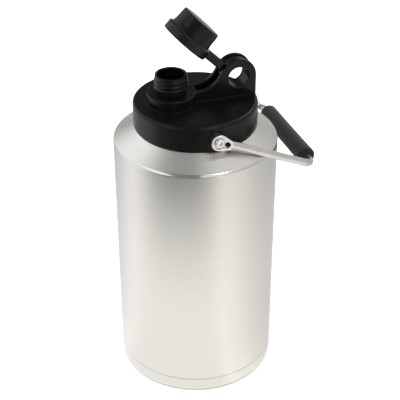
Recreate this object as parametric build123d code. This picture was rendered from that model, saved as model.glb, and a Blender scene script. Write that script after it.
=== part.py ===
from build123d import *
import os
from math import cos, radians, sin, tan

# One-gallon double-wall growler with a screw lid, a pour spout with a tethered cap,
# and a swinging steel bail with a soft grip. Millimetres.
# Origin: centre of the base, on the surface it stands on. +Z is up. The spout lies
# toward -X, the cap's hinge toward +X, and the bail turns about an axis along Y.
# The cap is modelled open and the bail is modelled lying back on the shoulder.

# ---- Driving dimensions ----
GAP = 0.3              # between parts that move past each other
SEAT = 0.1             # between parts that are seated or fixed together

# Vessel: outer wall, vacuum gap and inner wall
SHEET = 0.9            # steel sheet thickness
BODY_R = 76.0
SHOULDER_Z = 247.2     # where the straight wall would meet the cone
SHOULDER_SLOPE = 33.5  # degrees above level
SHOULDER_ROUND = 3.5
NECK_R = 47.5
NECK_ROUND = 3.0
RIM_Z = 276.5
VACUUM = 2.2
NECK_VACUUM = 1.1
LINER_BASE_Z = 26.0
LINER_BASE_ROUND = 9.0
BASE_CAP_H = 14.3
BASE_SEAM = 0.4
BASE_LIP_H = 4.0
BASE_ROUND = 3.5
FOOT_R = 66.0          # inner edge of the ring that it stands on
RECESS_H = 3.0
RECESS_R = 60.0
BASE_PLATE_Z = 20.0

# Lid
LID_R = 57.0
LID_BOTTOM_Z = 260.4
LID_TOP_Z = 284.7
LID_ROUND = 3.0
LID_WALL = 3.4
SKIRT_IN_R = 53.3
SKIRT_IN_Z = 263.2
LID_PITCH = 6.0        # lid rises this much for each turn
RIDGE_H = 1.4
RIDGE_W = 2.0
COLLAR_IN_R = 50.6
COLLAR_OUT_R = 52.8
COLLAR_BOTTOM_Z = 267.0
PLUG_R = 43.9
PLUG_WALL = 2.0
PLUG_BOTTOM_Z = 268.0
FLANGE_Z = 279.0

# Spout and the round platform that it stands on
SPOUT_X = -22.8
SPOUT_TOP_Z = 312.9
SPOUT_R = 13.9
SPOUT_MOUTH_R = 14.5     # above the platform
SPOUT_BORE_R = 12.4
SPOUT_FLANGE_R = 16.5
SPOUT_FLANGE_H = 1.4
SPOUT_THREAD_R = 15.3
SPOUT_RIDGES = (301.4, 305.2, 309.0)
PLATFORM_R = 22.2
PLATFORM_Z = 295.3
PLATFORM_WALL = 3.0

# Ears and the hollow hinge
HUB_X = 38.5
HUB_Z = 303.1
EAR_R = 17.2
EAR_HALF_W = 8.8
EAR_SLOT_HALF_W = 4.9
EAR_ROUND = 1.1
EAR_ROOT = 2.0            # how far the ears and platform reach into the lid's top
SLOT_ROUND = 0.6
PLINTH_BLEND_R = 6.0      # in plan, where the ears leave the platform
FINGER_R = 9.8
FINGER_ROUND = 0.5
EAR_BLEND_ANGLE = 158.0   # where the fairing meets the ear, seen from the hub
SLEEVE_R = 12.6
SLEEVE_IN_R = 10.0
SLEEVE_HALF_L = 7.1
HINGE_FIT = 0.08

# Tether and cap, given in the closed position
OPEN_ANGLE = 44.4
TETHER_R = 22.7
TETHER_IN_R = 20.3
TETHER_Z = 295.6
TETHER_TOP_Z = 304.8
STRAP_Z = 297.1
STRAP_HALF_W = 4.5
STRAP_ROUND = 0.8
STRAP_BLEND_R = 3.0
EYE_R = 15.8
CAP_R = 20.0
CAP_TOP_R = 19.1
CAP_Z = 295.9
CAP_TOP_Z = 320.2
CAP_BORE_R = 17.3
CAP_THREAD_R = 16.4
CAP_ROOF_Z = 315.3
CAP_RIDGES = (299.7, 303.5)
CAP_SEAL_IN_R = 8.0
CAP_SEAL_H = 2.0
FLUTES = 6
FLUTE_R = 13.0
FLUTE_DEPTH = 1.1
FLUTE_Z = 306.8

# Bail
PIVOT_Z = 272.0
BAIL_HALF_W = 61.3
BAIL_LENGTH = 101.3
BAIL_BEND_R = 11.2
BAIL_ROD_R = 3.6
BAIL_DROP = 24.0       # degrees below level, lying on the shoulder
GRIP_R = 8.6
GRIP_HALF_L = 47.0
GRIP_ROUND = 2.4

# Pivots, measured outward along Y
PAD_R = 9.5
PAD_FACE = 58.0
PAD_ROUND = 0.5
WASHER_R = 6.9
WASHER_T = 0.8
END_R = 7.6
END_TIP_X = 12.5
END_IN = 59.1
END_OUT = 64.9
POCKET_R = 6.0
POCKET_TIP_X = 10.8
POCKET_TIP_R = 2.6
TIP_HOLE_X = 8.5
TIP_HOLE_R = 2.3
POCKET_FLOOR = 62.7
BUSH_R = 4.1
BUSH_FLANGE_R = 5.5
BUSH_FLANGE_T = 0.8
SCREW_R = 3.0
HEAD_R = 4.7
HEAD_H = 2.3
SOCKET_R = 2.3
SOCKET_DEPTH = 1.5
INSERT_R = 4.5
INSERT_IN = 53.4

HUB_AXIS = Axis((HUB_X, 0, HUB_Z), (0, 1, 0))
PIVOT_AXIS = Axis((0, 0, PIVOT_Z), (0, 1, 0))


# ---- Shape helpers ----
def turned(*corners):
    """Turn a closed outline of (radius, height) or (radius, height, rounding) about Z."""
    outline = make_face(Polyline(*[(c[0], 0, c[1]) for c in corners], close=True)).face()
    for corner in corners:
        if len(corner) == 3:
            vertex = outline.vertices().sort_by_distance((corner[0], 0, corner[1]))[0]
            outline = outline.fillet_2d(corner[2], [vertex])
    return revolve(outline, Axis.Z)


def ring(inner_r, outer_r, low, high):
    """A plain ring about Z."""
    return turned((inner_r, low), (outer_r, low), (outer_r, high), (inner_r, high))


def thread_ridge(root_r, crest_r, height):
    """One thread ridge, narrower at its crest than at its root."""
    half_root = RIDGE_W / 2
    half_crest = RIDGE_W / 5
    return turned(
        (root_r, height - half_root),
        (crest_r, height - half_crest),
        (crest_r, height + half_crest),
        (root_r, height + half_root),
    )


def rod_y(radius, start, end, x=0.0, z=PIVOT_Z):
    """A round bar along Y between two places."""
    bar = Cylinder(radius, end - start, rotation=(90, 0, 0))
    return Pos(x, (start + end) / 2, z) * bar


def slab_y(outline, start, end):
    """An outline drawn with X across and Z up, given thickness along Y."""
    plane = Plane((0, end, 0), x_dir=(1, 0, 0), z_dir=(0, -1, 0))
    return extrude(plane * outline, amount=end - start)


def at_rear(shape):
    """The same piece on the other end of the bail's axis."""
    return mirror(shape, Plane.XZ)


def cone_z(radius, depth):
    """Height of the shoulder cone at a radius, for a surface set in by depth."""
    rise = (BODY_R - radius) * tan(radians(SHOULDER_SLOPE))
    return SHOULDER_Z + rise - depth / cos(radians(SHOULDER_SLOPE))


# ---- Vessel ----
def outer_shell():
    low = BASE_CAP_H + BASE_SEAM
    high = RIM_Z - SHEET
    in_r = BODY_R - SHEET
    neck_in_r = NECK_R - SHEET
    shell = turned(
        (BODY_R, low),
        (BODY_R, SHOULDER_Z, SHOULDER_ROUND),
        (NECK_R, cone_z(NECK_R, 0), NECK_ROUND),
        (NECK_R, high),
        (neck_in_r, high),
        (neck_in_r, cone_z(neck_in_r, SHEET), NECK_ROUND + SHEET),
        (in_r, cone_z(in_r, SHEET), SHOULDER_ROUND - SHEET),
        (in_r, low),
    )
    for height in (COLLAR_BOTTOM_Z + 1.6, COLLAR_BOTTOM_Z + 1.6 + LID_PITCH):
        shell += thread_ridge(NECK_R - SHEET / 2, NECK_R + RIDGE_H, height)
    return shell


def inner_liner():
    out_r = BODY_R - SHEET - VACUUM
    in_r = out_r - SHEET
    neck_out_r = NECK_R - SHEET - NECK_VACUUM
    neck_in_r = neck_out_r - SHEET
    out_depth = SHEET + VACUUM
    in_depth = out_depth + SHEET
    return turned(
        (0, LINER_BASE_Z),
        (out_r, LINER_BASE_Z, LINER_BASE_ROUND),
        (out_r, cone_z(out_r, out_depth), SHOULDER_ROUND),
        (neck_out_r, cone_z(neck_out_r, out_depth), NECK_ROUND),
        (neck_out_r, RIM_Z - SHEET),
        (NECK_R, RIM_Z - SHEET),
        (NECK_R, RIM_Z),
        (neck_in_r, RIM_Z),
        (neck_in_r, cone_z(neck_in_r, in_depth), NECK_ROUND + SHEET),
        (in_r, cone_z(in_r, in_depth), SHOULDER_ROUND - SHEET),
        (in_r, LINER_BASE_Z + SHEET, LINER_BASE_ROUND - SHEET),
        (0, LINER_BASE_Z + SHEET),
    )


def base_cap():
    lip_r = BODY_R - SHEET - SEAT
    lip_in_r = lip_r - SHEET
    lip_top = BASE_CAP_H + BASE_LIP_H
    return turned(
        (0, RECESS_H),
        (RECESS_R, RECESS_H),
        (FOOT_R, 0),
        (BODY_R, 0, BASE_ROUND),
        (BODY_R, BASE_CAP_H),
        (lip_r, BASE_CAP_H),
        (lip_r, lip_top),
        (lip_in_r, lip_top),
        (lip_in_r, SHEET, BASE_ROUND - SHEET),
        (FOOT_R + SHEET / 2, SHEET),
        (RECESS_R + SHEET / 2, RECESS_H + SHEET),
        (0, RECESS_H + SHEET),
    )


def base_plate():
    out_r = BODY_R - SHEET - SEAT
    seal_hole_r = 3.0
    flange_h = 4.0
    return turned(
        (seal_hole_r, BASE_PLATE_Z),
        (out_r, BASE_PLATE_Z, 2.0),
        (out_r, BASE_PLATE_Z + flange_h),
        (out_r - SHEET, BASE_PLATE_Z + flange_h),
        (out_r - SHEET, BASE_PLATE_Z + SHEET, 1.1),
        (seal_hole_r, BASE_PLATE_Z + SHEET),
    )


def vacuum_seal():
    head_r = 5.5
    spigot_r = 2.9
    return turned(
        (0, BASE_PLATE_Z - 1.2),
        (head_r, BASE_PLATE_Z - 1.2),
        (head_r, BASE_PLATE_Z),
        (spigot_r, BASE_PLATE_Z),
        (spigot_r, BASE_PLATE_Z + SHEET),
        (0, BASE_PLATE_Z + SHEET),
    )


def getter():
    getter_r = 9.0
    getter_h = 3.0
    return turned(
        (0, LINER_BASE_Z - getter_h),
        (getter_r, LINER_BASE_Z - getter_h, 0.8),
        (getter_r, LINER_BASE_Z),
        (0, LINER_BASE_Z),
    )


# ---- Lid ----
def ear_outline():
    """Side view of the ears: fairing up from the platform, round top, straight back."""
    blend = radians(EAR_BLEND_ANGLE)
    blend_x = HUB_X + EAR_R * cos(blend)
    blend_z = HUB_Z + EAR_R * sin(blend)
    turn = radians(EAR_BLEND_ANGLE - 90)
    fairing_r = (blend_z - PLATFORM_Z) / (1 - cos(turn))
    fairing_x = blend_x - fairing_r * sin(turn)
    back_x = HUB_X + EAR_R
    low_z = LID_TOP_Z - EAR_ROOT
    mid_x = fairing_x + fairing_r * sin(turn / 2)
    mid_z = PLATFORM_Z + fairing_r * (1 - cos(turn / 2))
    edges = [
        Polyline((SPOUT_X, low_z), (SPOUT_X, PLATFORM_Z), (fairing_x, PLATFORM_Z)),
        ThreePointArc((fairing_x, PLATFORM_Z), (mid_x, mid_z), (blend_x, blend_z)),
        CenterArc((HUB_X, HUB_Z), EAR_R, 0, EAR_BLEND_ANGLE),
        Polyline((back_x, HUB_Z), (back_x, low_z), (SPOUT_X, low_z)),
    ]
    return make_face(Wire(Curve() + edges).edges())


def plinth_outline():
    """Plan view of the spout's platform and of the strip that the ears stand on."""
    back_x = HUB_X + EAR_R
    strip = Pos((SPOUT_X + back_x) / 2, 0) * Rectangle(back_x - SPOUT_X, 2 * EAR_HALF_W)
    outline = Pos(SPOUT_X, 0) * Circle(PLATFORM_R) + strip
    corners = [vertex for vertex in outline.vertices() if vertex.X < 0]
    return fillet(corners, PLINTH_BLEND_R)


def level_edges(shape, height):
    """The edges that lie level at a height, shortest first."""
    return shape.edges().filter_by_position(Axis.Z, height - 0.1, height + 0.1).sort_by(SortBy.LENGTH)


def platform_and_ears():
    """One raised block for the platform and the ears. Rounding its top edge rounds the whole rim."""
    root = Plane.XY.offset(LID_TOP_Z - EAR_ROOT)
    block = extrude(root * plinth_outline(), PLATFORM_Z - LID_TOP_Z + EAR_ROOT)
    block += slab_y(ear_outline(), -EAR_HALF_W, EAR_HALF_W)
    return fillet(level_edges(block, PLATFORM_Z)[-1], EAR_ROUND)


def cut_slot(shell):
    """Part the two ears, as far as the platform's round side, and ease the slot's upper edges."""
    length = LID_R - SPOUT_X
    height = EAR_R + HUB_Z - LID_TOP_Z
    slot = Pos(SPOUT_X, 0, LID_TOP_Z) * Box(
        length, 2 * EAR_SLOT_HALF_W, height, align=(Align.MIN, Align.CENTER, Align.MIN)
    )
    slot -= Pos(SPOUT_X, 0, 0) * ring(0, PLATFORM_R, LID_TOP_Z - 1, HUB_Z + EAR_R + 1)
    shell -= slot
    near_slot = level_edges(shell, PLATFORM_Z).filter_by(lambda edge: (edge @ 0.5).X > SPOUT_X + PLATFORM_R - 1)
    inner = near_slot.filter_by(lambda edge: abs((edge @ 0.5).Y) < EAR_SLOT_HALF_W + 0.1)
    return fillet(inner, SLOT_ROUND)


def circles(shape, radius, offset):
    """The round edges of this radius that lie offset away from the XZ plane on either side."""
    found = shape.edges().filter_by(GeomType.CIRCLE)
    found = found.filter_by(lambda edge: abs(edge.radius - radius) < 0.01)
    return found.filter_by(lambda edge: abs(abs(edge.arc_center.Y) - offset) < 0.01)


def lid_shell():
    ceiling_z = LID_TOP_Z - LID_WALL
    shell = turned(
        (0, ceiling_z),
        (SKIRT_IN_R, ceiling_z),
        (SKIRT_IN_R, SKIRT_IN_Z),
        (LID_R, LID_BOTTOM_Z, 0.6),
        (LID_R, LID_TOP_Z, LID_ROUND),
        (0, LID_TOP_Z),
    )
    shell += platform_and_ears()
    shell = cut_slot(shell)
    hollow_r = PLATFORM_R - PLATFORM_WALL
    shell -= Pos(SPOUT_X, 0, 0) * ring(0, hollow_r, ceiling_z - 1, PLATFORM_Z - PLATFORM_WALL)
    shell -= Pos(SPOUT_X, 0, 0) * ring(0, SPOUT_R + SEAT, ceiling_z, PLATFORM_Z + 1)
    shell -= rod_y(FINGER_R, -EAR_HALF_W - 1, EAR_HALF_W + 1, HUB_X, HUB_Z)
    shell = fillet(circles(shell, FINGER_R, EAR_HALF_W), FINGER_ROUND)
    seat = SLEEVE_HALF_L + SEAT
    shell -= rod_y(SLEEVE_R + SEAT, -seat, seat, HUB_X, HUB_Z)
    for side in (-1, 1):
        near, far = sorted((side * (SKIRT_IN_R + 1), side * PAD_FACE))
        shell += rod_y(PAD_R, near, far)
    shell = fillet(circles(shell, PAD_R, PAD_FACE), PAD_ROUND)
    shell -= rod_y(INSERT_R + SEAT, -PAD_FACE - 1, -INSERT_IN + 2)
    shell -= rod_y(INSERT_R + SEAT, INSERT_IN - 2, PAD_FACE + 1)
    return shell


def lid_liner():
    top_z = LID_TOP_Z - LID_WALL
    plug_in_r = PLUG_R - PLUG_WALL
    liner = turned(
        (0, PLUG_BOTTOM_Z),
        (PLUG_R, PLUG_BOTTOM_Z, 1.5),
        (PLUG_R, FLANGE_Z),
        (COLLAR_IN_R, FLANGE_Z),
        (COLLAR_IN_R, COLLAR_BOTTOM_Z),
        (COLLAR_OUT_R, COLLAR_BOTTOM_Z),
        (COLLAR_OUT_R, top_z),
        (plug_in_r, top_z),
        (plug_in_r, PLUG_BOTTOM_Z + PLUG_WALL),
        (0, PLUG_BOTTOM_Z + PLUG_WALL),
    )
    crest_r = NECK_R + RIDGE_H + GAP
    first = COLLAR_BOTTOM_Z + 1.6 + LID_PITCH / 2
    liner += thread_ridge(COLLAR_IN_R + 0.5, crest_r, first)
    liner -= Pos(SPOUT_X, 0, 0) * ring(0, SPOUT_R + SEAT, PLUG_BOTTOM_Z - 1, FLANGE_Z)
    return liner


def lid_insulation():
    low = PLUG_BOTTOM_Z + PLUG_WALL
    high = LID_TOP_Z - LID_WALL
    foam = ring(0, PLUG_R - PLUG_WALL - SEAT, low, high)
    return foam - Pos(SPOUT_X, 0, 0) * ring(0, SPOUT_R + 2 * SEAT, low - 1, high + 1)


def lid_gasket():
    return turned(
        (NECK_R - 3.3, RIM_Z + GAP),
        (NECK_R + 1.4, RIM_Z + GAP, 0.6),
        (NECK_R + 1.4, FLANGE_Z - SEAT, 0.6),
        (NECK_R - 3.3, FLANGE_Z - SEAT),
    )


def spout():
    flange_z = PLUG_BOTTOM_Z - SPOUT_FLANGE_H
    tube = turned(
        (SPOUT_BORE_R, flange_z),
        (SPOUT_FLANGE_R, flange_z),
        (SPOUT_FLANGE_R, PLUG_BOTTOM_Z),
        (SPOUT_R, PLUG_BOTTOM_Z),
        (SPOUT_R, PLATFORM_Z + SEAT),
        (SPOUT_MOUTH_R, PLATFORM_Z + SEAT),
        (SPOUT_MOUTH_R, SPOUT_TOP_Z, 0.8),
        (SPOUT_BORE_R, SPOUT_TOP_Z, 0.8),
    )
    for height in SPOUT_RIDGES:
        tube += thread_ridge(SPOUT_R - 0.5, SPOUT_THREAD_R, height)
    return Pos(SPOUT_X, 0, 0) * tube


def hinge_sleeve():
    bar = rod_y(SLEEVE_R, -SLEEVE_HALF_L, SLEEVE_HALF_L, HUB_X, HUB_Z)
    return bar - rod_y(SLEEVE_IN_R, -SLEEVE_HALF_L - 1, SLEEVE_HALF_L + 1, HUB_X, HUB_Z)


# ---- Tether and cap ----
def opened(shape):
    """Swing a piece from the closed position to the open one."""
    return shape.rotate(HUB_AXIS, OPEN_ANGLE)


def tether_arm():
    """The strap and the eye that turns on the hinge, in one piece with eased sides."""
    start_x = SPOUT_X + TETHER_IN_R + 0.8
    strap = Box(HUB_X - start_x, 2 * STRAP_HALF_W, TETHER_TOP_Z - STRAP_Z)
    strap = Pos((HUB_X + start_x) / 2, 0, (STRAP_Z + TETHER_TOP_Z) / 2) * strap
    arm = strap + rod_y(EYE_R, -STRAP_HALF_W, STRAP_HALF_W, HUB_X, HUB_Z)
    across = arm.edges().filter_by(Axis.Y)
    arm = fillet(across.filter_by(lambda edge: start_x < (edge @ 0.5).X - 1 < HUB_X - 2), STRAP_BLEND_R)
    sides = arm.faces().filter_by(Axis.Y).edges()
    return fillet(sides.filter_by(lambda edge: (edge @ 0.5).X > start_x + 1), STRAP_ROUND)


def cap_tether():
    loop = turned(
        (TETHER_IN_R, TETHER_Z),
        (TETHER_R, TETHER_Z, 0.6),
        (TETHER_R, TETHER_TOP_Z, 1.9),
        (TETHER_IN_R, TETHER_TOP_Z),
    )
    tether = Pos(SPOUT_X, 0, 0) * loop + tether_arm()
    bore_r = SLEEVE_R + HINGE_FIT
    tether -= rod_y(bore_r, -STRAP_HALF_W - 1, STRAP_HALF_W + 1, HUB_X, HUB_Z)
    return opened(tether)


def spout_cap():
    body = turned(
        (CAP_BORE_R, CAP_Z),
        (CAP_R, CAP_Z, 0.5),
        (CAP_R, TETHER_TOP_Z),
        (CAP_TOP_R, CAP_TOP_Z, 1.2),
        (0, CAP_TOP_Z),
        (0, CAP_ROOF_Z),
        (CAP_BORE_R, CAP_ROOF_Z),
    )
    for height in CAP_RIDGES:
        body += thread_ridge(CAP_BORE_R + 0.5, CAP_THREAD_R, height)
    flute = Cylinder(FLUTE_R, CAP_TOP_Z - FLUTE_Z + 1, align=(Align.CENTER, Align.CENTER, Align.MIN))
    flute = fillet(flute.faces().sort_by(Axis.Z)[0].edges(), 2.0)
    flute_x = CAP_R - FLUTE_DEPTH + FLUTE_R
    for index in range(FLUTES):
        body -= Rot(0, 0, (index + 0.5) * 360 / FLUTES) * Pos(flute_x, 0, FLUTE_Z) * flute
    return opened(Pos(SPOUT_X, 0, 0) * body)


def cap_seal():
    low = CAP_ROOF_Z - CAP_SEAL_H
    seal = ring(CAP_SEAL_IN_R, CAP_BORE_R - SEAT, low, CAP_ROOF_Z)
    return opened(Pos(SPOUT_X, 0, 0) * seal)


# ---- Bail, drawn level toward +X and then lowered on to the shoulder ----
def lowered(shape):
    return shape.rotate(PIVOT_AXIS, BAIL_DROP)


def bail_rod():
    corners = [
        (END_TIP_X, -BAIL_HALF_W, PIVOT_Z),
        (BAIL_LENGTH, -BAIL_HALF_W, PIVOT_Z),
        (BAIL_LENGTH, BAIL_HALF_W, PIVOT_Z),
        (END_TIP_X, BAIL_HALF_W, PIVOT_Z),
    ]
    path = FilletPolyline(*corners, radius=BAIL_BEND_R)
    section = Plane(corners[0], z_dir=(1, 0, 0)) * Circle(BAIL_ROD_R)
    return lowered(sweep(section, path))


def teardrop(round_r, tip_x, tip_r):
    """A round eye about the pivot that narrows toward the rod."""
    tip_center = tip_x - tip_r
    hull = make_hull(Circle(round_r).edges() + (Pos(tip_center, 0) * Circle(tip_r)).edges())
    return Pos(0, PIVOT_Z) * hull


def bail_end_front():
    """Eye that the pivot screw passes through, cut square where the rod is welded on."""
    outline = teardrop(END_R, END_TIP_X + BAIL_ROD_R, BAIL_ROD_R + 0.4)
    trim = Pos(END_TIP_X - 25, PIVOT_Z) * Rectangle(50, 50)
    end = slab_y(outline & trim, -END_OUT, -END_IN)
    end = fillet(end.faces().sort_by(Axis.Y)[0].edges().filter_by(GeomType.CIRCLE), 0.5)
    pocket = teardrop(POCKET_R, POCKET_TIP_X, POCKET_TIP_R)
    end -= slab_y(pocket, -END_OUT - 1, -POCKET_FLOOR)
    end -= rod_y(BUSH_R + SEAT, -END_OUT, -END_IN + 1)
    end -= rod_y(TIP_HOLE_R, -END_OUT, -END_IN + 1, TIP_HOLE_X)
    return lowered(end)


def bail_end_rear():
    return at_rear(bail_end_front())


def handle_grip():
    grip = rod_y(GRIP_R, -GRIP_HALF_L, GRIP_HALF_L, BAIL_LENGTH)
    grip = fillet(grip.edges().filter_by(GeomType.CIRCLE), GRIP_ROUND)
    grip -= rod_y(BAIL_ROD_R + SEAT, -GRIP_HALF_L - 1, GRIP_HALF_L + 1, BAIL_LENGTH)
    return lowered(grip)


# ---- Pivot hardware: front pieces, and their mirror images at the rear ----
def pivot_washer_front():
    washer = rod_y(WASHER_R, -PAD_FACE - WASHER_T, -PAD_FACE)
    return washer - rod_y(SCREW_R + SEAT, -PAD_FACE - WASHER_T - 1, -PAD_FACE + 1)


def pivot_bush_front():
    tube_in = -PAD_FACE - WASHER_T
    flange_in = -POCKET_FLOOR - GAP
    flange_out = flange_in - BUSH_FLANGE_T
    bush = rod_y(BUSH_R, flange_in, tube_in) + rod_y(BUSH_FLANGE_R, flange_out, flange_in)
    return bush - rod_y(SCREW_R + SEAT, flange_out - 1, tube_in + 1)


def pivot_screw_front():
    """Button-head screw with a hexagon socket, seated on the bush's flange."""
    under_head = -POCKET_FLOOR - GAP - BUSH_FLANGE_T
    shank = rod_y(SCREW_R, under_head, -INSERT_IN)
    head = rod_y(HEAD_R, under_head - HEAD_H, under_head)
    head = fillet(head.edges().sort_by(Axis.Y)[0], 1.4)
    socket = Pos(0, PIVOT_Z) * RegularPolygon(SOCKET_R, 6)
    cut = slab_y(socket, under_head - HEAD_H - 1, under_head - HEAD_H + SOCKET_DEPTH)
    return shank + head - cut


def screw_insert_front():
    insert = rod_y(INSERT_R, -PAD_FACE + SEAT, -INSERT_IN)
    return insert - rod_y(SCREW_R + SEAT / 2, -PAD_FACE, -INSERT_IN + 1)


def pivot_washer_rear():
    return at_rear(pivot_washer_front())


def pivot_bush_rear():
    return at_rear(pivot_bush_front())


def pivot_screw_rear():
    return at_rear(pivot_screw_front())


def screw_insert_rear():
    return at_rear(screw_insert_front())


PIECES = (
    outer_shell,
    inner_liner,
    base_cap,
    base_plate,
    vacuum_seal,
    getter,
    lid_shell,
    lid_liner,
    lid_insulation,
    lid_gasket,
    spout,
    hinge_sleeve,
    cap_tether,
    spout_cap,
    cap_seal,
    bail_rod,
    bail_end_front,
    bail_end_rear,
    handle_grip,
    pivot_washer_front,
    pivot_washer_rear,
    pivot_bush_front,
    pivot_bush_rear,
    pivot_screw_front,
    pivot_screw_rear,
    screw_insert_front,
    screw_insert_rear,
)

os.makedirs("parts", exist_ok=True)
for piece in PIECES:
    export_step(piece(), f"parts/{piece.__name__}.step")
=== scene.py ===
"""Looks of the growler: finishes, foam grip, screw threads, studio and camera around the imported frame."""
import math

import bpy
from mathutils import Matrix, Vector, noise


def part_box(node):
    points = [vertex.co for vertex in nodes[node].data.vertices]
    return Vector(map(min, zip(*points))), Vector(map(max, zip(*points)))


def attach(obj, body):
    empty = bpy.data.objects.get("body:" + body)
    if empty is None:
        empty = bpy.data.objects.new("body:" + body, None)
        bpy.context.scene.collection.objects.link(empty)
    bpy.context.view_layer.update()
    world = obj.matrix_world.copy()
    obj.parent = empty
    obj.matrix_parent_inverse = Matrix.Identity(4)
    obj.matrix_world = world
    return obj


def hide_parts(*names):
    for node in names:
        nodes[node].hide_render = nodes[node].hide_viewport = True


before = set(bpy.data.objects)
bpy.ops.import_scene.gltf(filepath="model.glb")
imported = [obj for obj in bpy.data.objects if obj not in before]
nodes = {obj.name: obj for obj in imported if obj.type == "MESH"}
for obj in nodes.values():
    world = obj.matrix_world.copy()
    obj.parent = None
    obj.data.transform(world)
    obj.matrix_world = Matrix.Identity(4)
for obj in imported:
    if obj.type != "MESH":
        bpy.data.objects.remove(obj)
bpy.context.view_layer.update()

MM = 0.001
MICRON = 0.000001


# ---- Shader building blocks ----
def new_finish(name, **values):
    """A Principled material. Values name its sockets, with underscores for the spaces in their names."""
    material = bpy.data.materials.new(name + "_finish")
    material.use_nodes = True
    shader = material.node_tree.nodes["Principled BSDF"]
    for socket, value in values.items():
        shader.inputs[socket.replace("_", " ")].default_value = value
    return material, material.node_tree, shader


def link(tree, source, target):
    tree.links.new(source, target)


def node(tree, kind, inputs=(), **settings):
    """A node with its settings and inputs. An input is a value, or another node's output."""
    made = tree.nodes.new(kind)
    for setting, value in settings.items():
        setattr(made, setting, value)
    for socket, value in dict(inputs).items():
        if isinstance(value, bpy.types.NodeSocket):
            link(tree, value, made.inputs[socket])
        else:
            made.inputs[socket].default_value = value
    return made


def object_point(tree):
    return node(tree, "ShaderNodeTexCoord").outputs["Object"]


def noise_value(tree, point, scale, detail=2.0, stretch=(1, 1, 1)):
    """Noise from 0 to 1 over a point, in features per metre."""
    placed = node(tree, "ShaderNodeMapping", {"Vector": point, "Scale": stretch}).outputs["Vector"]
    inputs = {"Vector": placed, "Scale": scale, "Detail": detail}
    return node(tree, "ShaderNodeTexNoise", inputs).outputs["Fac"]


def math_value(tree, operation, *inputs):
    return node(tree, "ShaderNodeMath", dict(enumerate(inputs)), operation=operation).outputs[0]


def spread(tree, value, low, high):
    """Bring noise, which keeps near its middle, to a range."""
    inputs = {"Value": value, "From Min": 0.3, "From Max": 0.7, "To Min": low, "To Max": high}
    return node(tree, "ShaderNodeMapRange", inputs).outputs["Result"]


def tinted(tree, value, first, second):
    """A colour between two, by a value around one half."""
    ramp = node(tree, "ShaderNodeValToRGB", {"Fac": value})
    ramp.color_ramp.elements[0].position = 0.3
    ramp.color_ramp.elements[0].color = (*first, 1)
    ramp.color_ramp.elements[1].position = 0.7
    ramp.color_ramp.elements[1].color = (*second, 1)
    return ramp.outputs["Color"]


def eased(tree, radius):
    """The surface's direction with its edges and corners eased by a radius."""
    return node(tree, "ShaderNodeBevel", {"Radius": radius}, samples=6).outputs["Normal"]


def between(tree, value, low, high):
    """A value from 0 to 1 turned into one from low to high."""
    inputs = {"Value": value, "To Min": low, "To Max": high}
    return node(tree, "ShaderNodeMapRange", inputs).outputs["Result"]


def bumped(tree, height, depth, base=None):
    inputs = {"Height": height, "Distance": depth, "Strength": 1.0}
    if base is not None:
        inputs["Normal"] = base
    return node(tree, "ShaderNodeBump", inputs).outputs["Normal"]


# ---- Finishes ----
CREST_Z = 246.8 * MM        # the rounded corner between wall and shoulder, burnished as it is rolled
CREST_HALF = 1.4 * MM
CREST_ROUGHNESS = 0.42      # as a share of the wall's
SHOULDER_FALL = -0.8        # carries the streaks on over the shoulder
STEEL_WANDER = 0.015        # in roughness, both from streak to streak and from patch to patch
STEEL_EDGE = 0.4 * MM


def turned_steel(name, light, dark, roughness, spreading):
    """Stainless steel brushed round the Z axis, so that reflections are drawn out across fine streaks."""
    material, tree, shader = new_finish(name, Metallic=1.0, Anisotropic=spreading)
    point = object_point(tree)
    parts = node(tree, "ShaderNodeSeparateXYZ", {"Vector": point}).outputs
    flat = node(tree, "ShaderNodeCombineXYZ", {"X": parts["X"], "Y": parts["Y"]}).outputs["Vector"]
    radius = node(tree, "ShaderNodeVectorMath", {0: flat}, operation="LENGTH").outputs["Value"]
    down = math_value(tree, "MULTIPLY_ADD", radius, SHOULDER_FALL, parts["Z"])
    across = node(tree, "ShaderNodeCombineXYZ", {"X": parts["X"], "Y": parts["Y"], "Z": down})
    across = across.outputs["Vector"]
    fine = noise_value(tree, across, 1.0, 3.0, (22, 22, 2600))
    broad = noise_value(tree, across, 1.0, 2.0, (9, 9, 420))
    cloud = noise_value(tree, point, 14.0, 2.0)
    link(tree, tinted(tree, broad, dark, light), shader.inputs["Base Color"])
    streaks = spread(tree, fine, roughness - STEEL_WANDER, roughness + STEEL_WANDER)
    patches = spread(tree, cloud, -STEEL_WANDER, STEEL_WANDER)
    crest = math_value(tree, "COMPARE", parts["Z"], CREST_Z, CREST_HALF)
    burnished = between(tree, crest, 1.0, CREST_ROUGHNESS)
    rough = math_value(tree, "MULTIPLY", math_value(tree, "ADD", streaks, patches), burnished)
    link(tree, rough, shader.inputs["Roughness"])
    link(tree, bumped(tree, fine, MICRON, eased(tree, STEEL_EDGE)), shader.inputs["Normal"])
    tangent = node(tree, "ShaderNodeTangent", direction_type="RADIAL", axis="Z")
    link(tree, tangent.outputs["Tangent"], shader.inputs["Tangent"])
    return material


METAL_EDGE = 0.2 * MM


def plain_metal(name, light, dark, roughness, grain, depth):
    """Metal with a grain of its own: polished, satin or as it left the mill."""
    material, tree, shader = new_finish(name, Metallic=1.0)
    point = object_point(tree)
    fine = noise_value(tree, point, grain, 3.0)
    cloud = noise_value(tree, point, 90.0, 2.0)
    link(tree, tinted(tree, cloud, dark, light), shader.inputs["Base Color"])
    link(tree, spread(tree, fine, roughness * 0.75, roughness * 1.25), shader.inputs["Roughness"])
    link(tree, bumped(tree, fine, depth, eased(tree, METAL_EDGE)), shader.inputs["Normal"])
    return material


PLASTIC_WANDER = 0.04


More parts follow.
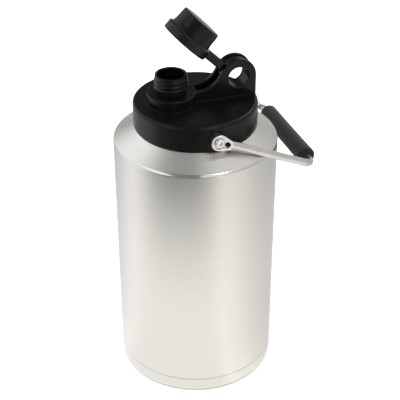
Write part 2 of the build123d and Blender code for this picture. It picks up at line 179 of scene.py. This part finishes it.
def moulded(name, light, dark, roughness, grain, depth, gloss, ease=0.3 * MM, **values):
    """Moulded plastic or rubber: a fine spark-eroded grain, and a roughness that wanders by handling."""
    material, tree, shader = new_finish(name, Specular_IOR_Level=gloss, **values)
    point = object_point(tree)
    fine = noise_value(tree, point, grain, 3.0)
    cloud = noise_value(tree, point, 55.0, 3.0)
    link(tree, tinted(tree, cloud, dark, light), shader.inputs["Base Color"])
    grainy = spread(tree, fine, roughness - PLASTIC_WANDER, roughness + PLASTIC_WANDER)
    handled = spread(tree, cloud, -PLASTIC_WANDER, PLASTIC_WANDER)
    link(tree, math_value(tree, "ADD", grainy, handled), shader.inputs["Roughness"])
    link(tree, bumped(tree, fine, depth, eased(tree, ease)), shader.inputs["Normal"])
    return material


def foam(name, light, dark, cells, depth):
    """Closed-cell foam: small soft pits all over, and next to no gloss."""
    sheen = {"Specular_IOR_Level": 0.2, "Sheen_Weight": 0.15, "Sheen_Roughness": 0.5}
    material, tree, shader = new_finish(name, **sheen)
    point = object_point(tree)
    pits = node(tree, "ShaderNodeTexVoronoi", {"Vector": point, "Scale": cells}, feature="SMOOTH_F1")
    pits = pits.outputs["Distance"]
    cloud = noise_value(tree, point, 120.0, 3.0)
    link(tree, tinted(tree, cloud, dark, light), shader.inputs["Base Color"])
    link(tree, spread(tree, pits, 0.78, 0.95), shader.inputs["Roughness"])
    link(tree, bumped(tree, pits, depth), shader.inputs["Normal"])
    return material


STEEL_LIGHT = (0.790, 0.775, 0.730)
STEEL_DARK = (0.778, 0.763, 0.718)
FINISHES = {
    "brushed_shell": turned_steel("brushed_shell", STEEL_LIGHT, STEEL_DARK, 0.25, 0.88),
    "bare_steel": plain_metal(
        "bare_steel", (0.66, 0.65, 0.62), (0.56, 0.55, 0.53), 0.38, 900, 6 * MICRON
    ),
    "satin_rod": plain_metal(
        "satin_rod", (0.74, 0.73, 0.71), (0.66, 0.65, 0.63), 0.24, 1400, 2 * MICRON
    ),
    "polished_steel": plain_metal(
        "polished_steel", (0.82, 0.81, 0.79), (0.76, 0.75, 0.73), 0.10, 700, MICRON
    ),
    "black_plastic": moulded(
        "black_plastic", (0.0030, 0.0030, 0.0034), (0.0018, 0.0018, 0.0021),
        0.24, 1500, 2.2 * MICRON, 0.22, 1.2 * MM
    ),
    "tether_plastic": moulded(
        "tether_plastic", (0.0036, 0.0036, 0.0040), (0.0022, 0.0022, 0.0025),
        0.29, 1100, 2.8 * MICRON, 0.28, 0.9 * MM
    ),
    "silicone": moulded(
        "silicone", (0.62, 0.62, 0.60), (0.52, 0.52, 0.50),
        0.55, 700, 4 * MICRON, 0.3, Subsurface_Weight=0.1, Subsurface_Scale=2 * MM
    ),
    "grip_foam": foam(
        "grip_foam", (0.0085, 0.0085, 0.0092), (0.0045, 0.0045, 0.0050), 1300, 0.12 * MM
    ),
    "insulating_foam": foam(
        "insulating_foam", (0.82, 0.78, 0.62), (0.74, 0.69, 0.52), 900, 0.2 * MM
    ),
    "nylon": moulded(
        "nylon", (0.72, 0.71, 0.67), (0.62, 0.61, 0.57),
        0.42, 900, 3 * MICRON, 0.4, Subsurface_Weight=0.05, Subsurface_Scale=MM
    ),
    "brass": plain_metal(
        "brass", (0.80, 0.60, 0.27), (0.68, 0.49, 0.20), 0.30, 1200, 3 * MICRON
    ),
}
for cad_node in nodes.values():
    for place in cad_node.material_slots:
        place.material = FINISHES[place.material.name]


# ---- Pieces made as meshes ----
def lathe(name, loop, segments, centre, axis="Z", wobble=None):
    """A closed loop of (radius, height) turned round an axis through centre. Wobble changes its radii."""
    mesh = bpy.data.meshes.new(name)
    verts, faces = [], []
    for step in range(segments):
        angle = 2 * math.pi * step / segments
        for radius, height in loop:
            if wobble:
                radius = wobble(angle, radius, height)
            verts.append((radius * math.cos(angle), radius * math.sin(angle), height))
    count = len(loop)
    for step in range(segments):
        here, after = step * count, (step + 1) % segments * count
        for index in range(count):
            following = (index + 1) % count
            faces.append((here + index, after + index, after + following, here + following))
    mesh.from_pydata(verts, [], faces)
    if axis == "Y":
        mesh.transform(Matrix.Rotation(math.radians(-90), 4, "X"))
    mesh.transform(Matrix.Translation(centre))
    mesh.polygons.foreach_set("use_smooth", [True] * len(mesh.polygons))
    mesh.validate()
    piece = bpy.data.objects.new(name, mesh)
    bpy.context.scene.collection.objects.link(piece)
    return piece


def finish_piece(piece, cad_name, slot, body):
    piece.data.materials.append(FINISHES[slot])
    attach(piece, body)
    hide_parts(cad_name)


def arc(centre_r, centre_h, radius, start, end, steps):
    """Points of a round corner, as (radius, height) from a start angle to an end angle in degrees."""
    points = []
    for step in range(steps + 1):
        angle = math.radians(start + (end - start) * step / steps)
        points.append((centre_r + radius * math.cos(angle), centre_h + radius * math.sin(angle)))
    return points


GRIP_BORE_R = 3.7 * MM
GRIP_CORNER = 2.6 * MM
GRIP_BORE_CORNER = 0.8 * MM
GRIP_WAIST = 0.25 * MM      # how far the foam stands in between its ends
GRIP_SEAM = 0.12 * MM       # the faint dent along the foam's skived joint
GRIP_SEAM_ANGLE = 205       # in degrees
GRIP_SEAM_WIDTH = 6
GRIP_LUMP = 0.07 * MM
GRIP_LUMPS_ALONG = 160      # a metre
GRIP_ROWS = 90


def foam_grip():
    """The foam sleeve on the bail: slightly waisted and uneven, with soft ends."""
    low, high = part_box("handle_grip")
    centre = (low + high) / 2
    outer = (high.z - low.z) / 2
    half = (high.y - low.y) / 2
    bore_corner = GRIP_BORE_R + GRIP_BORE_CORNER
    corner = outer - GRIP_CORNER
    foot = half - GRIP_CORNER
    eye = half - GRIP_BORE_CORNER
    loop = [(GRIP_BORE_R, eye), (GRIP_BORE_R, -eye)]
    loop += arc(bore_corner, -eye, GRIP_BORE_CORNER, 180, 270, 4)[1:]
    loop += arc(corner, -foot, GRIP_CORNER, -90, 0, 8)
    for row in range(1, GRIP_ROWS):
        loop.append((outer, 2 * foot * row / GRIP_ROWS - foot))
    loop += arc(corner, foot, GRIP_CORNER, 0, 90, 8)
    loop += arc(bore_corner, eye, GRIP_BORE_CORNER, 90, 180, 4)[:-1]

    def wobble(angle, radius, height):
        share = max(0.0, (radius - GRIP_BORE_R) / (outer - GRIP_BORE_R))
        along = height / half
        waist = GRIP_WAIST * (1 - along * along)
        place = Vector((math.cos(angle) * 2, math.sin(angle) * 2, height * GRIP_LUMPS_ALONG))
        lumps = GRIP_LUMP * (noise.noise(place) + 1)
        from_seam = (math.degrees(angle) - GRIP_SEAM_ANGLE) / GRIP_SEAM_WIDTH
        seam = GRIP_SEAM * math.exp(-from_seam**2)
        return radius - share * (waist + lumps + seam)

    grip = lathe("foam_grip", loop, 96, centre, "Y", wobble)
    finish_piece(grip, "handle_grip", "grip_foam", "bail")


SPOUT_R = 13.9 * MM         # where it passes through the lid
MOUTH_R = 14.5 * MM
MOUTH_HEIGHT = 17.5 * MM
SPOUT_BORE_R = 12.4 * MM
SPOUT_LIP = 0.7 * MM
FLANGE_HEIGHT = 1.4 * MM
FLANGE_CORNER = 0.3 * MM
THREAD_CREST_R = 15.25 * MM
THREAD_PITCH = 3.8 * MM
THREAD_TURNS = 3.0
THREAD_LOWEST = 14.4 * MM   # from the spout's rim down to where the thread starts
THREAD_FLANK = 0.75 * MM
THREAD_FLAT = 0.45 * MM
THREAD_FADE = math.radians(50)
SPOUT_ROWS = 76


def thread_height(angle, below_rim):
    """How far a helical thread stands proud, from 0 to 1, at an angle and a depth below the rim."""
    best = 0.0
    turns = math.ceil(THREAD_TURNS)
    for turn in range(turns):
        travelled = angle + 2 * math.pi * turn
        ahead = THREAD_TURNS * 2 * math.pi - travelled
        if ahead < 0:
            continue
        fade = min(1.0, travelled / THREAD_FADE, ahead / THREAD_FADE)
        middle = THREAD_LOWEST - THREAD_PITCH * travelled / (2 * math.pi)
        away = abs(below_rim - middle)
        rise = 1 - max(0.0, away - THREAD_FLAT) / THREAD_FLANK
        best = max(best, min(1.0, max(0.0, rise)) * fade)
    return best


def threaded_spout():
    """The plastic mouth with a real helical thread."""
    low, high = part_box("spout")
    flange_r = (high.x - low.x) / 2
    centre = Vector(((low.x + high.x) / 2, (low.y + high.y) / 2, 0))
    flange_top = low.z + FLANGE_HEIGHT
    foot = high.z - MOUTH_HEIGHT
    loop = [
        (SPOUT_BORE_R, low.z),
        (flange_r - FLANGE_CORNER, low.z),
        (flange_r, low.z + FLANGE_CORNER),
        (flange_r, flange_top),
        (SPOUT_R, flange_top),
        (SPOUT_R, foot),
    ]
    for row in range(SPOUT_ROWS):
        loop.append((MOUTH_R, foot + (MOUTH_HEIGHT - SPOUT_LIP) * row / SPOUT_ROWS))
    loop += arc(MOUTH_R - SPOUT_LIP, high.z - SPOUT_LIP, SPOUT_LIP, 0, 90, 5)
    loop += arc(SPOUT_BORE_R + SPOUT_LIP, high.z - SPOUT_LIP, SPOUT_LIP, 90, 180, 5)

    def wobble(angle, radius, height):
        if abs(radius - MOUTH_R) > 0.01 * MM:
            return radius
        return radius + (THREAD_CREST_R - MOUTH_R) * thread_height(angle, high.z - height)

    spout = lathe("threaded_spout", loop, 192, centre, "Z", wobble)
    spout.data.set_sharp_from_angle(angle=math.radians(50))
    finish_piece(spout, "spout", "black_plastic", "lid")


foam_grip()
threaded_spout()


# ---- Studio ----
CAMERA_AZIMUTH = math.radians(-19.5)
RIGHTWARD = (math.cos(CAMERA_AZIMUTH), math.sin(CAMERA_AZIMUTH), 0)
TOWARD = (math.sin(CAMERA_AZIMUTH), -math.cos(CAMERA_AZIMUTH), 0)
NEAR_END = 0.18             # the floor as the steel sees it is white out to here
FAR_START = 0.58            # and from here on it has the brightness of the studio's sides
COOL = (0.955, 1.0, 1.045)
EVEN = (1.0, 0.995, 0.985)
WARM = (1.0, 0.985, 0.955)
SIDES = (                   # degrees from the camera's side round to its right; near, far, tint
    (-150, 0.78, 0.50, COOL),
    (-120, 0.90, 0.70, COOL),
    (-92, 1.12, 1.14, EVEN),
    (-80, 1.12, 1.02, EVEN),
    (-66, 1.05, 0.60, EVEN),
    (-50, 1.02, 0.29, EVEN),
    (-37, 1.02, 0.18, EVEN),
    (0, 1.01, 0.19, EVEN),
    (12, 1.01, 0.33, EVEN),
    (21, 1.03, 0.44, WARM),
    (26, 1.08, 0.62, WARM),
    (30, 1.18, 1.06, WARM),
    (37, 1.14, 1.00, WARM),
    (43, 1.06, 0.86, WARM),
    (51, 1.06, 0.92, WARM),
    (70, 0.90, 0.74, WARM),
    (92, 0.80, 0.57, EVEN),
    (115, 0.74, 0.51, EVEN),
    (180, 0.80, 0.50, EVEN),
)
OVERHEAD = (                # share of a direction that points to the camera's right; brightness, tint
    (-1.00, 0.80, COOL),
    (-0.66, 1.20, COOL),
    (-0.56, 1.05, EVEN),
    (-0.50, 0.62, EVEN),
    (-0.46, 0.22, EVEN),
    (0.09, 0.20, EVEN),
    (0.16, 0.86, EVEN),
    (0.30, 0.84, EVEN),
    (0.65, 0.66, EVEN),
    (1.00, 0.50, EVEN),
)
BACK_SHARE = 0.62           # how bright the studio is behind the object, against the camera's side
BACK_EDGES = (-0.85, -0.45)   # share of a direction towards the camera, where that dimming starts and ends
WORLD_SEEN = 1.05           # a shade over white to the camera
WORLD_SOFT = 1.5


def ramp_colour(tree, value, stops):
    """A colour ramp of (place, brightness, tint)."""
    ramp = node(tree, "ShaderNodeValToRGB", {"Fac": value})
    elements = ramp.color_ramp.elements
    elements.remove(elements[1])
    stops = sorted(stops)
    elements[0].position = stops[0][0]
    for place, brightness, tint in stops:
        element = elements[0] if place == stops[0][0] else elements.new(place)
        element.color = (*(brightness * share for share in tint), 1)
    return ramp.outputs["Color"]


def sides_colour(tree, direction, column):
    """The brightness round the object, from one column of SIDES."""
    turn = node(tree, "ShaderNodeTexGradient", {"Vector": direction}, gradient_type="RADIAL").outputs["Fac"]
    start = math.degrees(math.atan2(TOWARD[1], TOWARD[0])) + 180
    stops = [((start + side[0]) % 360 / 360, side[column], side[3]) for side in SIDES]
    first, last = min(stops), max(stops)
    stops.append((0.0, (first[1] + last[1]) / 2, first[2]))
    stops.append((1.0, (first[1] + last[1]) / 2, last[2]))
    return ramp_colour(tree, turn, stops)


def toward(tree, direction, axis):
    dot = node(tree, "ShaderNodeVectorMath", {0: direction, 1: axis}, operation="DOT_PRODUCT")
    return dot.outputs["Value"]


def build_world():
    """White to the camera, even on matt surfaces, and soft sides with a dark ceiling in reflections."""
    world = bpy.data.worlds.new("studio")
    bpy.context.scene.world = world
    world.use_nodes = True
    tree = world.node_tree
    tree.nodes.clear()
    direction = node(tree, "ShaderNodeTexCoord").outputs["Generated"]
    path = node(tree, "ShaderNodeLightPath").outputs
    seen = node(tree, "ShaderNodeBackground", {"Color": (1, 1, 1, 1), "Strength": WORLD_SEEN}).outputs[0]
    soft = node(tree, "ShaderNodeBackground", {"Color": (1, 1, 1, 1), "Strength": WORLD_SOFT}).outputs[0]
    across = {"Value": toward(tree, direction, RIGHTWARD), "From Min": -1.0, "From Max": 1.0}
    place = node(tree, "ShaderNodeMapRange", across).outputs["Result"]
    colour = ramp_colour(tree, place, [((share + 1) / 2, bright, tint) for share, bright, tint in OVERHEAD])
    behind = {
        "Value": toward(tree, direction, TOWARD),
        "From Min": BACK_EDGES[0], "From Max": BACK_EDGES[1], "To Min": BACK_SHARE, "To Max": 1.0,
    }
    strength = node(tree, "ShaderNodeMapRange", behind).outputs["Result"]
    mirrored = node(tree, "ShaderNodeBackground", {"Color": colour, "Strength": strength}).outputs[0]
    other = node(tree, "ShaderNodeMixShader", {0: path["Is Glossy Ray"], 1: soft, 2: mirrored}).outputs[0]
    both = node(tree, "ShaderNodeMixShader", {0: path["Is Camera Ray"], 1: other, 2: seen}).outputs[0]
    output = node(tree, "ShaderNodeOutputWorld")
    link(tree, both, output.inputs["Surface"])


def disc(name, inner, outer, height, segments=128):
    mesh = bpy.data.meshes.new(name)
    verts = []
    for radius in (inner, outer):
        for step in range(segments):
            angle = 2 * math.pi * step / segments
            verts.append((radius * math.cos(angle), radius * math.sin(angle), height))
    faces = []
    for step in range(segments):
        after = (step + 1) % segments
        faces.append((step, segments + step, segments + after, after))
    mesh.from_pydata(verts, [], faces)
    made = bpy.data.objects.new(name, mesh)
    bpy.context.scene.collection.objects.link(made)
    return made


FLOOR_R = 6.0
FLOOR_Z = -0.4 * MM
SURROUND_IN_R = 78 * MM     # just outside the vessel's foot
SURROUND_R = 4.0
SURROUND_Z = 0.5 * MM


def build_floor():
    """A wide pale matt floor, and over it what the steel sees: white near by, the studio's sides beyond."""
    floor = disc("floor", 0.1 * MM, FLOOR_R, FLOOR_Z)
    material, tree, shader = new_finish("floor", Roughness=0.9, Specular_IOR_Level=0.1)
    shade = noise_value(tree, object_point(tree), 3.0, 2.0)
    link(tree, tinted(tree, shade, (0.86, 0.86, 0.855), (0.88, 0.88, 0.875)), shader.inputs["Base Color"])
    floor.data.materials.append(material)

    surround = disc("surround", SURROUND_IN_R, SURROUND_R, SURROUND_Z)
    material = bpy.data.materials.new("surround")
    material.use_nodes = True
    tree = material.node_tree
    tree.nodes.clear()
    point = object_point(tree)
    radius = node(tree, "ShaderNodeVectorMath", {0: point}, operation="LENGTH").outputs["Value"]
    edge = {"Value": radius, "From Min": NEAR_END, "From Max": FAR_START}
    far = node(tree, "ShaderNodeMapRange", edge, interpolation_type="SMOOTHSTEP").outputs["Result"]
    both = {0: far, 6: sides_colour(tree, point, 1), 7: sides_colour(tree, point, 2)}
    colour = node(tree, "ShaderNodeMix", both, data_type="RGBA")
    glow = node(tree, "ShaderNodeEmission", {"Color": colour.outputs[2], "Strength": 1.0}).outputs[0]
    output = node(tree, "ShaderNodeOutputMaterial")
    link(tree, glow, output.inputs["Surface"])
    surround.data.materials.append(material)
    surround.visible_camera = False
    surround.visible_diffuse = False
    surround.visible_shadow = False
    surround.visible_transmission = False


LIT_HEIGHT = 200 * MM       # the point that the softboxes face


def soft_light(name, side, elevation, distance, size, power, colour, mirrored):
    """A softbox, placed by degrees from the camera's side round to its right, and degrees above level."""
    data = bpy.data.lights.new(name, "AREA")
    data.shape = "RECTANGLE"
    data.size, data.size_y = size
    data.energy = power
    data.color = colour
    lamp = bpy.data.objects.new(name, data)
    bpy.context.scene.collection.objects.link(lamp)
    side, elevation = math.radians(side), math.radians(elevation)
    outward = Vector(TOWARD) * math.cos(side) + Vector(RIGHTWARD) * math.sin(side)
    outward = outward * math.cos(elevation) + Vector((0, 0, math.sin(elevation)))
    lamp.location = outward * distance + Vector((0, 0, LIT_HEIGHT))
    lamp.rotation_mode = "QUATERNION"
    lamp.rotation_quaternion = outward.to_track_quat("Z", "Y")
    lamp.visible_glossy = mirrored


def build_lights():
    soft_light("ceiling", 0, 82, 1.7, (0.9, 0.9), 8.0, WARM, False)
    soft_light("left_box", -96, 42, 1.5, (0.45, 0.7), 4.0, COOL, False)
    soft_light("right_box", 40, 52, 1.5, (0.10, 0.6), 1.6, WARM, True)
    soft_light("back_box", 150, 40, 1.6, (0.5, 0.3), 1.2, EVEN, True)


CAMERA_LENS = 95.06
CAMERA_ELEVATION = math.radians(32.52)
CAMERA_DISTANCE = 1.01603
CAMERA_AIM = Vector((0.00404, -0.00143, 0.17518))


def build_camera():
    """From the front left, looking down by a third of a right angle."""
    data = bpy.data.cameras.new("camera")
    data.sensor_width = 36
    data.lens = CAMERA_LENS
    data.clip_start, data.clip_end = 0.01, 50
    camera = bpy.data.objects.new("camera", data)
    bpy.context.scene.collection.objects.link(camera)
    back = Vector(TOWARD) * math.cos(CAMERA_ELEVATION) + Vector((0, 0, math.sin(CAMERA_ELEVATION)))
    camera.location = CAMERA_AIM + back * CAMERA_DISTANCE
    camera.rotation_mode = "QUATERNION"
    camera.rotation_quaternion = (-back).to_track_quat("-Z", "Y")
    bpy.context.scene.camera = camera


build_world()
build_floor()
build_lights()
build_camera()
bpy.context.scene.view_settings.view_transform = "Standard"
